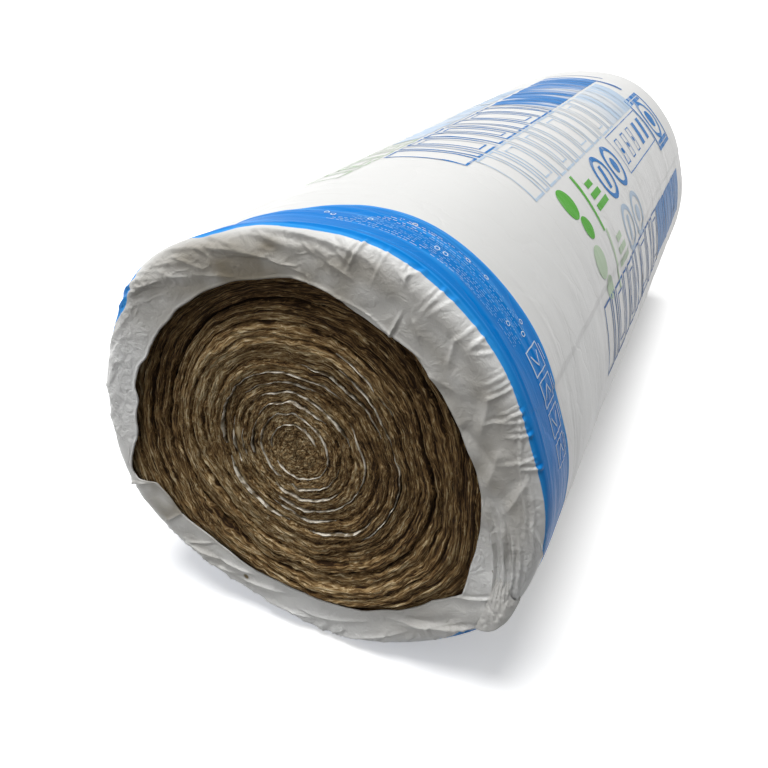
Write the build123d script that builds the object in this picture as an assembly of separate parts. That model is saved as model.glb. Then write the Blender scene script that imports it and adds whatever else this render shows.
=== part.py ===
"""A roll of compressed glass wool in a wrapped film sleeve, lying on its side.

The roll lies along Y with its open, photographed end at -Y. Its own weight has pressed the
underside a little flat. The origin is on the floor under the middle of the roll.
"""

import os
from math import cos, radians, sin

from build123d import *

# The roll. Its length is the width of the mat, and its radius is the mean of the outside.
roll_length = 1200.0
roll_radius = 243.0
rest_height = 230.0  # from the roll's axis down to the settled underside
rest_right = 43.0  # reach of the settled underside to the right of the axis
rest_left = 18.0  # and to the left
rim_radius = 20.0  # rounding between the side and the ends

# The lumpy round outline is twelve tangent arcs of equal turn, anticlockwise from the underside.
# These are the radii of the first ten. The last two follow, because the outline closes.
arc_count = 12
arc_radius_shares = (0.619, 1.321, 0.390, 1.511, 0.869, 0.701, 1.512, 0.643, 1.374, 0.445)

# The film sleeve, folded in over both ends. A flap's reach is from the side to its free edge.
film_thickness = 1.0
far_flap_reach = 54.0
# Radius of the near opening at even steps from straight right, anticlockwise.
near_opening_shares = (
    0.775, 0.750, 0.726, 0.738, 0.727, 0.750, 0.776, 0.766, 0.772, 0.774, 0.781, 0.822,
    0.865, 0.930, 0.965, 0.830, 0.778, 0.786, 0.782, 0.794, 0.830, 0.845, 0.830, 0.786,
)  # fmt: skip

# The wound mat. One turn of the compressed mat is one pitch thick.
turn_pitch = 12.0
wool_clearance = 0.3  # between the wool and the film around it
core_radius = 15.0  # where the winding starts
dish_depth = 9.0  # the wool's ends lie this far back inside the openings
dish_margin = 44.0  # from the wool's side to the lip of the dish
dish_slope = 16.0  # run of the dish's sloping wall
groove_width = 2.4  # valley between two turns at the ends
groove_depth = 8.0
kinks_per_turn = 12  # the stiff mat winds in short straights

# The thin facing that is wound in with the mat and shows between the inner turns.
facing_thickness = 0.8
facing_clearance = 0.2
facing_setback = 2.0  # behind the floor of the dish
facing_kinks = range(18, 103)  # counted from the core

wool_inset = film_thickness + wool_clearance
wool_length = roll_length - 2 * wool_inset
wool_rim_bevel = rim_radius - wool_inset
dish_floor = wool_length / 2 - dish_depth
winding_reach = roll_radius - wool_inset - dish_margin - dish_slope - turn_pitch - core_radius
winding_kinks = range(round(winding_reach / turn_pitch * kinks_per_turn))
overrun = roll_length / 240  # cuts run this far past the faces that they open


def station(y: float) -> Plane:
    """The plane across the roll at y, with X to the right and Z up, facing -Y."""
    return Plane(origin=(0, y, 0), x_dir=(1, 0, 0), z_dir=(0, -1, 0))


def polar(radius: float, angle_deg: float) -> tuple:
    """The point at a radius and an angle, anticlockwise from straight right."""
    return (radius * cos(radians(angle_deg)), radius * sin(radians(angle_deg)))


def arc_normal(step: int) -> Vector:
    """The outward direction at the start of one of the outline's arcs."""
    return Vector(*polar(1, step * 360 / arc_count - 90))


def arc_radii() -> list:
    """The radii of all the outline's arcs, the last two solved so that the outline closes."""
    radii = [roll_radius * share for share in arc_radius_shares]
    rest = Vector(-rest_left - rest_right, 0)
    for step, radius in enumerate(radii):
        rest -= (arc_normal(step + 1) - arc_normal(step)) * radius
    before = arc_normal(arc_count - 1) - arc_normal(arc_count - 2)
    last = arc_normal(arc_count) - arc_normal(arc_count - 1)
    turn = before.cross(last).Z
    return [*radii, rest.cross(last).Z / turn, before.cross(rest).Z / turn]


def section(inset: float) -> Face:
    """The roll's lumpy round section with its settled underside, taken in all round by inset."""
    start = Vector(rest_right, inset - rest_height)
    edges = [Line((-rest_left, inset - rest_height), start)]
    for step, full_radius in enumerate(arc_radii()):
        radius = full_radius - inset
        middle = start + (arc_normal(step + 0.5) - arc_normal(step)) * radius
        end = start + (arc_normal(step + 1) - arc_normal(step)) * radius
        if step == arc_count - 1:
            end = Vector(-rest_left, inset - rest_height)
        edges.append(ThreePointArc(start, middle, end))
        start = end
    return make_face(Wire(edges))


def near_opening() -> Face:
    """The uneven opening that the folded film leaves at the near end."""
    step_deg = 360 / len(near_opening_shares)
    shares = enumerate(near_opening_shares)
    points = [polar(roll_radius * share, step * step_deg) for step, share in shares]
    return make_face(Wire([Spline(*points, periodic=True)]))


def plain_body(inset: float) -> Solid:
    """The roll taken in all round by inset, with square ends."""
    half = roll_length / 2 - inset
    return extrude(station(half) * section(inset), amount=2 * half)


def rims(body: Solid) -> list:
    """The edges round both ends of a plain body."""
    half = body.bounding_box().max.Y
    return [edge for edge in body.edges() if abs(edge.center().Y) > half - rim_radius]


def rounded_body(inset: float) -> Solid:
    """The roll taken in all round by inset, with both of its rims rounded."""
    body = plain_body(inset)
    return fillet(rims(body), rim_radius - inset)


def winding_point(kink: float, shift: float) -> tuple:
    """A point after so many kinks, moved out by shift. The outer turns sag with the roll."""
    angle_deg = 360 * kink / kinks_per_turn
    radius = core_radius + turn_pitch * kink / kinks_per_turn
    sag = (1 - rest_height / roll_radius) * (radius / roll_radius) ** 2
    return polar(radius * (1 + sag * cos(radians(2 * angle_deg)) / 2) + shift, angle_deg)


def winding_strip(kinks: list, width: float) -> Face:
    """A strip of even width that follows the winding from kink to kink."""
    inner = [winding_point(kink, -width / 2) for kink in kinks]
    outer = [winding_point(kink, width / 2) for kink in reversed(kinks)]
    return make_face(Polyline(*inner, *outer, close=True))


def end_dish(side: int) -> Solid:
    """The shallow hollow at one end of the wool, with a sloping wall."""
    lip = station(side * (wool_length / 2 + overrun))
    bed = station(side * dish_floor)
    run = dish_slope * (1 + overrun / dish_depth)
    lip_inset = wool_inset + dish_margin + dish_slope - run
    return loft([lip * section(lip_inset), bed * section(lip_inset + run)])


def end_grooves(side: int) -> Solid:
    """The valley between the turns at one end, down into the floor of the dish."""
    strip = winding_strip(winding_kinks, groove_width)
    outermost = dish_floor + overrun if side > 0 else groove_depth - dish_floor
    return extrude(station(outermost) * strip, amount=groove_depth + overrun)


def wool_roll() -> Solid:
    """The wound mat as one solid, with its turns opened up at both ends."""
    play = facing_clearance / turn_pitch
    width = facing_thickness + 2 * facing_clearance
    slot = winding_strip([facing_kinks[0] - play, *facing_kinks, facing_kinks[-1] + play], width)
    cuts = [extrude(station(wool_length / 2) * slot, amount=wool_length)]
    for side in (-1, 1):
        cuts += [end_dish(side), end_grooves(side)]
    body = plain_body(wool_inset)
    return chamfer(rims(body), wool_rim_bevel) - cuts


def facing_sheet() -> Solid:
    """The facing wound in between the inner turns, over the whole width of the mat."""
    strip = winding_strip(facing_kinks, facing_thickness)
    half = dish_floor - facing_setback
    return extrude(station(half) * strip, amount=2 * half)


def film_sleeve() -> Solid:
    """The film skin round the roll, with a folded flap and an opening at each end."""
    skin = rounded_body(0) - rounded_body(film_thickness)
    half = roll_length / 2
    depth = film_thickness + 2 * overrun
    near = extrude(station(depth - overrun - half) * near_opening(), amount=depth)
    far = extrude(station(half + overrun) * section(far_flap_reach), amount=depth)
    return skin - near - far


def main() -> None:
    """Builds each piece, sets the roll on the floor and writes one file for each node."""
    pieces = {
        "wool_roll": wool_roll(),
        "facing_sheet": facing_sheet(),
        "film_sleeve": film_sleeve(),
    }
    box = pieces["film_sleeve"].bounding_box()
    middle = (box.min.X + box.max.X) / 2
    os.makedirs("parts", exist_ok=True)
    for node, solid in pieces.items():
        placed = Location((-middle, 0, -box.min.Z)) * solid
        placed.label = node
        export_step(placed, f"parts/{node}.step")


main()
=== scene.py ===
"""Dresses a roll of glass wool insulation in its printed film sleeve.

The roll lies along Y with its open end at -Y. Angles round the roll are measured at that end, from
straight right and anticlockwise. The film is measured along its own path: zero where the side
meets the near rim, negative over the rim and the folded flap, positive along the side.
"""

import logging
from dataclasses import dataclass, field
from enum import Enum
from math import acos, cos, pi, radians, sin

import bpy
import numpy as np
from mathutils import Matrix, Vector


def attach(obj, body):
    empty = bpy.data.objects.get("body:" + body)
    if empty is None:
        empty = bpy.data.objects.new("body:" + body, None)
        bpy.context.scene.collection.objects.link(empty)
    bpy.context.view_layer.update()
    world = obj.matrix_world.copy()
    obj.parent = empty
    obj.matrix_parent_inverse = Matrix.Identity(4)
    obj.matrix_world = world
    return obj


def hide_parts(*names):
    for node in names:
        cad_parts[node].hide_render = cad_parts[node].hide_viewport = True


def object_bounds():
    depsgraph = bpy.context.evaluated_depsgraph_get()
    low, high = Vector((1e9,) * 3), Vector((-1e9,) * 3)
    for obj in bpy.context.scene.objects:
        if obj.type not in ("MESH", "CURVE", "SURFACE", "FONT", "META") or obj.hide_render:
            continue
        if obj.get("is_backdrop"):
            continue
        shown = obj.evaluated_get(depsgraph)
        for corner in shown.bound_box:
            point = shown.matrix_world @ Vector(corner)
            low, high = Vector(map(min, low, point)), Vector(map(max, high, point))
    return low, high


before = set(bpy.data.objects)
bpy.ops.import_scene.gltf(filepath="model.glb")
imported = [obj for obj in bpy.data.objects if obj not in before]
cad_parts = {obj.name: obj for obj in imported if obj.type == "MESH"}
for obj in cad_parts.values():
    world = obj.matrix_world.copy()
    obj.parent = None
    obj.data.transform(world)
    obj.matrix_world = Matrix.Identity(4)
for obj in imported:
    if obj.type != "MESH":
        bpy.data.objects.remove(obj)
cad_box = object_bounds()

log = logging.getLogger("insulation_roll")
logging.basicConfig(level=logging.INFO, format="%(name)s: %(message)s")

Array = np.ndarray
Material = bpy.types.Material
Node = bpy.types.Node
Piece = bpy.types.Object
Socket = bpy.types.NodeSocket
Tree = bpy.types.NodeTree

MM = 0.001
LATTICE_STEPS = 256
CUBE_STEPS = 32


# Numbers and noise


def smooth(low: float, high: float, x: Array) -> Array:
    """Rises from 0 at low to 1 at high along a smooth curve, 3t^2 - 2t^3."""
    t = np.clip((x - low) / (high - low), 0.0, 1.0)
    return t * t * (3.0 - 2.0 * t)


def between(x: Array, begin: float, full: float, last: float, gone: float) -> Array:
    """Rises smoothly from 0 at begin to 1 at full, and falls from 1 at last to 0 at gone."""
    return smooth(begin, full, x) * smooth(gone, last, x)


def bell(distance: Array, width: float) -> Array:
    """A bell curve, 1 at no distance and about a third at one width."""
    return np.exp(-((distance / width) ** 2))


def turned(angle: Array, degrees: float) -> Array:
    """The angle past a direction in degrees, between half a turn short of it and half past."""
    return (angle - radians(degrees) + pi) % (2 * pi) - pi


def facing(angle: Array, degrees: float) -> Array:
    """1 in a direction in degrees, falling as a cosine to 0 opposite it."""
    return 0.5 + 0.5 * np.cos(angle - radians(degrees))


def lobes(angle: Array, parts: tuple) -> Array:
    """Bells round the roll added up, each by its height, its middle in degrees and its width."""
    return sum(height * bell(turned(angle, degrees), width) for height, degrees, width in parts)


def round_table(shares: tuple, angle: Array) -> Array:
    """Reads a table of even steps round the roll, the first at angle zero, in straight runs."""
    steps = np.linspace(0.0, 2 * pi, len(shares), endpoint=False)
    return np.interp(angle, steps, shares, period=2 * pi)


def round_curve(shares: tuple, angle: Array) -> Array:
    """Reads a table of even steps round the roll as the smooth sum of sines through them.

    Args:
        shares: Values at even steps, the first at angle zero.
        angle: Angles in radians.

    Returns:
        The value at each angle: the mean, and each harmonic's cosine and sine, added up.
    """
    parts = np.fft.rfft(shares) / len(shares)
    total = np.full(np.shape(angle), parts[0].real)
    for order in range(1, len(parts)):
        weight = 1.0 if 2 * order == len(shares) else 2.0
        wave = parts[order].real * np.cos(order * angle) - parts[order].imag * np.sin(order * angle)
        total = total + weight * wave
    return total


def lattice_noise(x: Array, y: Array, seed: int, wrap: int = LATTICE_STEPS) -> Array:
    """Smooth noise from -1 to 1: random values on a square lattice, blended between its corners.

    Args:
        x: First coordinate, in lattice steps.
        y: Second coordinate, in lattice steps, the same again after wrap steps.
        seed: Chooses the random values.
        wrap: Number of steps after which y repeats.

    Returns:
        The noise at each point.
    """
    values = np.random.default_rng(seed).uniform(-1.0, 1.0, (LATTICE_STEPS, wrap))
    x_low, y_low = np.floor(x).astype(int), np.floor(y).astype(int)
    x_part, y_part = smooth(0.0, 1.0, x - x_low), smooth(0.0, 1.0, y - y_low)
    left, right = (
        values[(x_low + side) % LATTICE_STEPS, y_low % wrap] * (1 - y_part)
        + values[(x_low + side) % LATTICE_STEPS, (y_low + 1) % wrap] * y_part
        for side in (0, 1)
    )
    return left * (1 - x_part) + right * x_part


def line_noise(x: Array, seed: int) -> Array:
    """Smooth noise from -1 to 1 along a line, in steps of one."""
    return lattice_noise(x, np.zeros_like(x), seed)


def solid_noise(x: Array, y: Array, z: Array, seed: int) -> Array:
    """Smooth noise from -1 to 1 in space: random values on a cubic lattice, blended between them.

    Args:
        x: First coordinate, in lattice steps.
        y: Second coordinate.
        z: Third coordinate.
        seed: Chooses the random values.

    Returns:
        The noise at each point.
    """
    values = np.random.default_rng(seed).uniform(-1.0, 1.0, (CUBE_STEPS, CUBE_STEPS, CUBE_STEPS))
    lows = [np.floor(part).astype(int) for part in (x, y, z)]
    parts = [smooth(0.0, 1.0, part - low) for part, low in zip((x, y, z), lows)]
    total = np.zeros(np.broadcast(x, y, z).shape)
    for corner in range(8):
        sides = (corner & 1, corner >> 1 & 1, corner >> 2)
        weight = np.ones_like(total)
        for part, side in zip(parts, sides):
            weight = weight * (part if side else 1 - part)
        total = total + weight * values[tuple((low + side) % CUBE_STEPS for low, side in zip(lows, sides))]
    return total


def ring_noise(angle: Array, steps: float, z: Array, seed: int) -> Array:
    """Smooth noise from -1 to 1 round a ring whose radius is in lattice steps, changing with z."""
    return solid_noise(np.cos(angle) * steps, np.sin(angle) * steps, z, seed)


# Meshes


def grid_faces(rows: int, columns: int, closed: bool) -> Array:
    """The quads of a grid of points, row by row.

    Args:
        rows: Number of rows of points.
        columns: Number of points in a row.
        closed: Whether the last column joins the first.

    Returns:
        Four point numbers for each quad.
    """
    row = np.arange(rows - 1)[:, None] * columns
    column = np.arange(columns if closed else columns - 1)[None, :]
    following = (column + 1) % columns
    quads = np.stack([row + column, row + following, row + columns + following, row + columns + column], -1)
    return quads.reshape(-1, 4)


def joined_faces(shapes: list, closed: bool) -> Array:
    """The quads of grids whose points follow one another, given their rows and columns."""
    starts = np.cumsum([0] + [rows * columns for rows, columns in shapes])
    return np.concatenate([grid_faces(*shape, closed) + start for shape, start in zip(shapes, starts)])


def add_mesh(name: str, points: Array, quads: Array, material: Material) -> Piece:
    """Makes a smooth mesh object at the origin from whole arrays.

    Args:
        name: The piece's name.
        points: Places in metres, with X, Y and Z last.
        quads: Four point numbers for each face, anticlockwise from outside.
        material: What it is made of.

    Returns:
        The new object.
    """
    mesh = bpy.data.meshes.new(name)
    mesh.vertices.add(points.size // 3)
    mesh.vertices.foreach_set("co", np.ascontiguousarray(points, dtype=np.float32).ravel())
    mesh.loops.add(quads.size)
    mesh.loops.foreach_set("vertex_index", np.ascontiguousarray(quads, dtype=np.int32).ravel())
    mesh.polygons.add(len(quads))
    mesh.polygons.foreach_set("loop_start", np.arange(0, quads.size, 4, dtype=np.int32))
    mesh.polygons.foreach_set("loop_total", np.full(len(quads), 4, dtype=np.int32))
    mesh.update(calc_edges=True)
    mesh.shade_smooth()
    mesh.materials.append(material)
    piece = bpy.data.objects.new(name, mesh)
    bpy.context.scene.collection.objects.link(piece)
    return piece


def add_values(piece: Piece, name: str, values: Array) -> None:
    """Stores one number, or three if they lie along a third axis, for each point of a piece.

    Args:
        piece: The piece, built from a grid.
        name: The attribute's name.
        values: Values in the grid's order, as rows by columns.
    """
    kind, slot = ("FLOAT", "value") if values.ndim == 2 else ("FLOAT_VECTOR", "vector")
    attribute = piece.data.attributes.new(name, kind, "POINT")
    attribute.data.foreach_set(slot, np.ascontiguousarray(values, dtype=np.float32).ravel())


def finish_piece(piece: Piece, node: str) -> None:
    """Rides a piece on the roll and its node, and reports it.

    Args:
        piece: The piece.
        node: The CAD node that it stands in place of.
    """
    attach(piece, "root")
    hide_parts(node)
    log.info("%s: %d faces", piece.name, len(piece.data.polygons))


# Colours and nodes


def linear(hex_colour: str) -> tuple:
    """Turns an sRGB hex colour to linear red, green, blue and alpha."""
    parts = [int(hex_colour[start : start + 2], 16) / 255 for start in (1, 3, 5)]
    return (*(part / 12.92 if part <= 0.04045 else ((part + 0.055) / 1.055) ** 2.4 for part in parts), 1.0)


def add_node(tree: Tree, kind: str, inputs: dict | None = None, **settings: object) -> Node:
    """Adds a node to a tree.

    Args:
        tree: The material's or world's node tree.
        kind: The node's type name.
        inputs: For each socket's name or number, a value to set, an output socket to link, or a
            node whose first output is linked.
        **settings: The node's own properties.

    Returns:
        The new node.
    """
    node = tree.nodes.new(kind)
    for name, value in settings.items():
        setattr(node, name, value)
    for socket, value in (inputs or {}).items():
        if isinstance(value, Node):
            value = value.outputs[0]
        if isinstance(value, Socket):
            tree.links.new(value, node.inputs[socket])
        else:
            node.inputs[socket].default_value = value
    return node


def new_material(name: str) -> tuple:
    """An empty node material.

    Args:
        name: The material's name.

    Returns:
        The material and its node tree.
    """
    material = bpy.data.materials.new(name)
    material.use_nodes = True
    material.node_tree.nodes.clear()
    return material, material.node_tree


# Finishes


@dataclass(frozen=True)
class PrintedFilm:
    """Blown polyethylene film, milky white, printed in flat ink under its own gloss.

    It gives the eye soft broad highlights, drawn out by fine wrinkles that run round the roll.
    """

    milk: str = "#E8E8E6"
    # The flaps' grey: partly the film's own, doubled over the wool, and partly painted shade.
    shade: str = "#C6C4BF"
    ink: str = "#0080D8"
    thin_ink: str = "#3CA2F0"
    gloss: float = 0.3
    ink_gloss: float = 0.04
    roughness: float = 0.34
    lump_spacing: float = 24 * MM
    lump_depth: float = 1.6 * MM
    wrinkle_spacing: float = 6 * MM
    wrinkle_depth: float = 0.7 * MM
    crinkle_spacing: float = 16 * MM
    crinkle_depth: float = 4.5 * MM
    crease_spacing: float = 48 * MM
    crease_depth: float = 0.6 * MM
    crease_bend: float = 30 * MM
    # Painted highlights on the ink: pale streaks this far apart, shown between these heights at the top of
    # the roll.
    sheen_spacing: float = 22 * MM
    sheen_height: tuple = (0.415, 0.45)
    thin_edge: float = 6 * MM
    sharp_edge: float = 0.35 * MM

    def relief(self, tree: Tree) -> Node:
        """The film's fine relief: soft lumps, wrinkles drawn round the roll, crinkles and creases.

        Wrinkles and crinkles are sharp where a noise passes its middle, and creases are the
        borders of bent cells. Each bump stands on the one before.

        Args:
            tree: The material's node tree.

        Returns:
            The last bump.
        """
        place = add_node(tree, "ShaderNodeTexCoord").outputs["Object"]
        lump = {"Vector": place, "Scale": 1 / self.lump_spacing, "Detail": 4.0}
        lumps = add_node(tree, "ShaderNodeTexNoise", lump)
        drawn = add_node(tree, "ShaderNodeMapping", {"Vector": place, "Scale": (0.14, 1.0, 0.14)})
        wrinkle = {"Vector": drawn, "Scale": 1 / self.wrinkle_spacing, "Detail": 4.0, "Roughness": 0.55}
        crinkle = {"Vector": place, "Scale": 1 / self.crinkle_spacing, "Detail": 5.0, "Roughness": 0.6}
        ridges = []
        for noise, distortion in ((wrinkle, 0.6), (crinkle, 0.4)):
            waves = add_node(tree, "ShaderNodeTexNoise", {**noise, "Distortion": distortion})
            middle = add_node(tree, "ShaderNodeMath", {0: waves, 1: 0.5}, operation="SUBTRACT")
            ridges.append(add_node(tree, "ShaderNodeMath", {0: middle}, operation="ABSOLUTE"))
        amount = add_node(tree, "ShaderNodeAttribute", attribute_name="crinkle").outputs["Fac"]
        crinkled = add_node(tree, "ShaderNodeMath", {0: ridges[1], 1: amount}, operation="MULTIPLY")
        bend = {0: lumps.outputs[1], 1: (self.crease_bend,) * 3, 2: place}
        bent = add_node(tree, "ShaderNodeVectorMath", bend, operation="MULTIPLY_ADD")
        spread = add_node(tree, "ShaderNodeMapping", {"Vector": bent, "Scale": (0.4, 1.0, 0.4)})
        cell = {"Vector": spread, "Scale": 1 / self.crease_spacing}
        cells = add_node(tree, "ShaderNodeTexVoronoi", cell, feature="DISTANCE_TO_EDGE")
        creased = add_node(tree, "ShaderNodeMapRange", {"Value": cells, "From Max": 0.05})
        soft = {"Strength": 0.4, "Distance": self.lump_depth, "Height": lumps}
        bump = add_node(tree, "ShaderNodeBump", soft)
        further = (
            (0.8, self.wrinkle_depth, ridges[0]),
            (0.8, self.crinkle_depth, crinkled),
            (0.4, self.crease_depth, creased),
        )
        for strength, depth, height in further:
            step = {"Strength": strength, "Distance": depth, "Height": height, "Normal": bump}
            bump = add_node(tree, "ShaderNodeBump", step)
        return bump

    def shader(self, tree: Tree, colour: tuple | Socket, gloss: float) -> Node:
        """The film's shader in a colour, set or linked, and with a given gloss."""
        look = {"Base Color": colour, "Roughness": self.roughness, "Specular IOR Level": gloss}
        return add_node(tree, "ShaderNodeBsdfPrincipled", {**look, "Normal": self.relief(tree)})

    def sleeve(self) -> Material:
        """The sleeve's film: white, greyer on the flaps, with the blue band by its ink attribute.

        Returns:
            The material.
        """
        material, tree = new_material("polyethylene_film")
        ink, shade, worn = (
            add_node(tree, "ShaderNodeAttribute", attribute_name=name).outputs["Fac"]
            for name in ("ink", "shade", "worn")
        )
        ground = {"Factor": shade, 6: linear(self.milk), 7: linear(self.shade)}
        white = add_node(tree, "ShaderNodeMix", ground, data_type="RGBA", clamp_factor=False)
        film = self.shader(tree, white.outputs[2], self.gloss)
        full = add_node(tree, "ShaderNodeMapRange", {"Value": ink, "From Max": self.thin_edge})
        band = {"Factor": full, 6: linear(self.thin_ink), 7: linear(self.ink)}
        blue = add_node(tree, "ShaderNodeMix", band, data_type="RGBA")
        # Painted sheen: pale streaks on the band where its wrinkles would catch the light.
        band_sheen = {"Factor": worn, 6: blue.outputs[2], 7: linear(self.thin_ink)}
        streaks = add_node(tree, "ShaderNodeMix", band_sheen, data_type="RGBA")
        inked = self.shader(tree, streaks.outputs[2], self.ink_gloss)
        edge = {"Value": ink, "From Min": -self.sharp_edge, "From Max": self.sharp_edge}
        printed = add_node(tree, "ShaderNodeMapRange", edge)
        both = add_node(tree, "ShaderNodeMixShader", {0: printed, 1: film, 2: inked})
        add_node(tree, "ShaderNodeOutputMaterial", {"Surface": both})
        return material

    def print_ink(self, name: str, hex_colour: str) -> Material:
        """The same film where it is printed in one colour, broken along the top of the roll by painted
        highlights: pale streaks where its wrinkles would catch the light.

        Args:
            name: The material's name.
            hex_colour: The ink's colour.

        Returns:
            The material.
        """
        material, tree = new_material(name)
        place = add_node(tree, "ShaderNodeTexCoord").outputs["Object"]
        drawn = add_node(tree, "ShaderNodeMapping", {"Vector": place, "Scale": (0.1, 1.0, 0.1)})
        marks = {"Vector": drawn, "Scale": 1 / self.sheen_spacing, "Detail": 3.0, "Distortion": 0.3}
        sheen_noise = add_node(tree, "ShaderNodeTexNoise", marks)
        line = {"Value": sheen_noise, "From Min": 0.5, "From Max": 0.62, "To Max": 0.7}
        pale = add_node(tree, "ShaderNodeMapRange", line)
        height = add_node(tree, "ShaderNodeSeparateXYZ", {0: place}).outputs[2]
        low, high = self.sheen_height
        top = add_node(tree, "ShaderNodeMapRange", {"Value": height, "From Min": low, "From Max": high})
        # Painted highlight: the pale streaks show only near the top of the roll.
        worn = add_node(tree, "ShaderNodeMath", {0: pale, 1: top}, operation="MULTIPLY")
        ground = {"Factor": worn, 6: linear(hex_colour), 7: linear(self.milk)}
        ink = add_node(tree, "ShaderNodeMix", ground, data_type="RGBA")
        printed = self.shader(tree, ink.outputs[2], self.ink_gloss)
        add_node(tree, "ShaderNodeOutputMaterial", {"Surface": printed})
        return material


@dataclass(frozen=True)
class GlassWool:
    """Compressed brown glass wool, fine matt fibres in layers that follow the winding.

    It gives the eye long streaks of tan and dark brown along the turns, with no gloss at all.
    """

    stops: tuple = ((0.1, "#2B1C0E"), (0.4, "#715736"), (0.66, "#A88D63"), (0.95, "#E0CEA8"))
    contrast: float = 1.75
    fibre_share: float = 0.9
    fleck_level: float = 0.56
    fibre_depth: float = 2.6 * MM

    def streaks(self, tree: Tree, name: str, detail: float) -> Node:
        """Noise drawn out along the layers, by one of the wool's stored places.

        Args:
            tree: The material's node tree.
            name: The attribute that holds the places.
            detail: How fine the noise goes.

        Returns:
            The noise node.
        """
        place = add_node(tree, "ShaderNodeAttribute", attribute_name=name).outputs["Vector"]
        inputs = {"Vector": place, "Scale": 1.0, "Detail": detail, "Roughness": 0.62, "Distortion": 0.35}
        return add_node(tree, "ShaderNodeTexNoise", inputs)

    def material(self) -> Material:
        """The wool, coloured by its tone attribute, its long streaks and its short fibres.

        Returns:
            The material.
        """
        material, tree = new_material("glass_wool")
        # The tone attribute holds painted shade and painted light along with the wool's own tone.
        tone = add_node(tree, "ShaderNodeAttribute", attribute_name="tone").outputs["Fac"]
        layers, fibres = self.streaks(tree, "grain", 5.0), self.streaks(tree, "fibre", 3.0)
        both = {0: fibres, 1: self.fibre_share, 2: layers}
        mixed = add_node(tree, "ShaderNodeMath", both, operation="MULTIPLY_ADD")
        centred = add_node(tree, "ShaderNodeMath", {0: mixed, 1: 0.95}, operation="SUBTRACT")
        stronger = {0: centred, 1: self.contrast, 2: tone}
        spread = add_node(tree, "ShaderNodeMath", stronger, operation="MULTIPLY_ADD")
        fleck = {0: self.streaks(tree, "fleck", 2.0), 1: self.fleck_level}
        off = add_node(tree, "ShaderNodeMath", fleck, operation="SUBTRACT")
        line = add_node(tree, "ShaderNodeMath", {0: off}, operation="ABSOLUTE")
        strand = {"Value": line, "From Min": 0.028, "From Max": 0.004, "To Max": 0.26}
        bright = add_node(tree, "ShaderNodeMapRange", strand)
        lit = add_node(tree, "ShaderNodeMath", {0: spread, 1: bright}, operation="ADD")
        ramp = add_node(tree, "ShaderNodeValToRGB", {"Fac": lit})
        for place, _ in self.stops[1:-1]:
            ramp.color_ramp.elements.new(place)
        for element, (place, colour) in zip(ramp.color_ramp.elements, self.stops):
            element.position = place
            element.color = linear(colour)
        raised = {"Strength": 1.0, "Distance": self.fibre_depth, "Height": mixed}
        bump = add_node(tree, "ShaderNodeBump", raised)
        matt = {"Base Color": ramp, "Roughness": 0.85, "Specular IOR Level": 0.12, "Normal": bump}
        shader = add_node(tree, "ShaderNodeBsdfPrincipled", matt)
        add_node(tree, "ShaderNodeOutputMaterial", {"Surface": shader})
        return material


@dataclass(frozen=True)
class FacingFilm:
    """Thin pale facing, calendered smooth, so its cut edges catch the light as bright lines."""

    stops: tuple = ((0.42, "#7A6C55"), (0.56, "#EDE6D6"))
    mottle_spacing: float = 11 * MM

    def material(self) -> Material:
        """The facing, bright in places and dulled by clinging fibres in others.

        Returns:
            The material.
        """
        material, tree = new_material("pale_facing")
        place = add_node(tree, "ShaderNodeTexCoord").outputs["Object"]
        noise = {"Vector": place, "Scale": 1 / self.mottle_spacing, "Detail": 4.0}
        ramp = add_node(tree, "ShaderNodeValToRGB", {"Fac": add_node(tree, "ShaderNodeTexNoise", noise)})
        for element, (place, colour) in zip(ramp.color_ramp.elements, self.stops):
            element.position = place
            element.color = linear(colour)
        satin = {"Base Color": ramp, "Roughness": 0.35, "Specular IOR Level": 0.2}
        shader = add_node(tree, "ShaderNodeBsdfPrincipled", satin)
        add_node(tree, "ShaderNodeOutputMaterial", {"Surface": shader})
        return material


# The roll's form


@dataclass(frozen=True)
class Crease:
    """One fold of the film, straight on the film laid flat, in metres round and along it."""

    start: tuple
    end: tuple
    width: float
    height: float
    spread: float = 1.0

    def press(self, total: Array, around: Array, along: Array, girth: float) -> None:
        """Adds the fold's height to the film's: a sharp ridge with a shallow trough beside it.

        The height is e^(-d/width) across the line, less a wider bell beside it, and it fades in at
        the fold's start and out at its end, where the fold is wider by its spread.

        Args:
            total: The heights so far, changed in place.
            around: Distance round the roll.
            along: Distance along the film's path.
            girth: Distance once round.
        """
        run = np.array(self.end) - np.array(self.start)
        length = np.hypot(*run)
        run = run / length
        from_start = (around - self.start[0] + girth / 2) % girth - girth / 2
        reach = length + 8 * self.width * max(self.spread, 1.0)
        near = (np.abs(from_start) < reach) & (np.abs(along - self.start[1]) < reach)
        side, down = from_start[near], along[near] - self.start[1]
        part = np.clip((side * run[0] + down * run[1]) / length, -0.3, 1.3)
        across = down * run[0] - side * run[1]
        fade = between(part, -0.12, 0.15, 0.55, 1.15)
        wide = self.width * (1 + (self.spread - 1) * np.clip(part, 0.0, 1.0))
        ridge = np.exp(-np.sqrt((across / wide) ** 2 + 0.05)) * 1.25
        total[near] += self.height * fade * (ridge - 0.5 * bell(across - 2.2 * wide, 1.6 * wide))


@dataclass(frozen=True)
class Ripple:
    """Noise over the film: a height in millimetres, a spacing along it and steps once round it."""

    height: float
    spacing: float
    count: int
    seed: int
    power: int = 1

    def noise(self, turns: Array, along: Array, bend: Array) -> Array:
        """Noise from -1 to 1 at turns round the roll and metres along the film, bent in steps."""
        return lattice_noise(along / self.spacing + bend, turns * self.count, self.seed, self.count)

    def waves(self, turns: Array, along: Array, bend: Array = 0.0) -> Array:
        """Smooth waves, the noise times the height."""
        return self.height * self.noise(turns, along, bend)

    def ridges(self, turns: Array, along: Array, bend: Array) -> Array:
        """Sharp ridges where the noise n passes zero, the height times (1 - |n|)^power."""
        return self.height * (1 - np.abs(self.noise(turns, along, bend))) ** self.power


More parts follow.
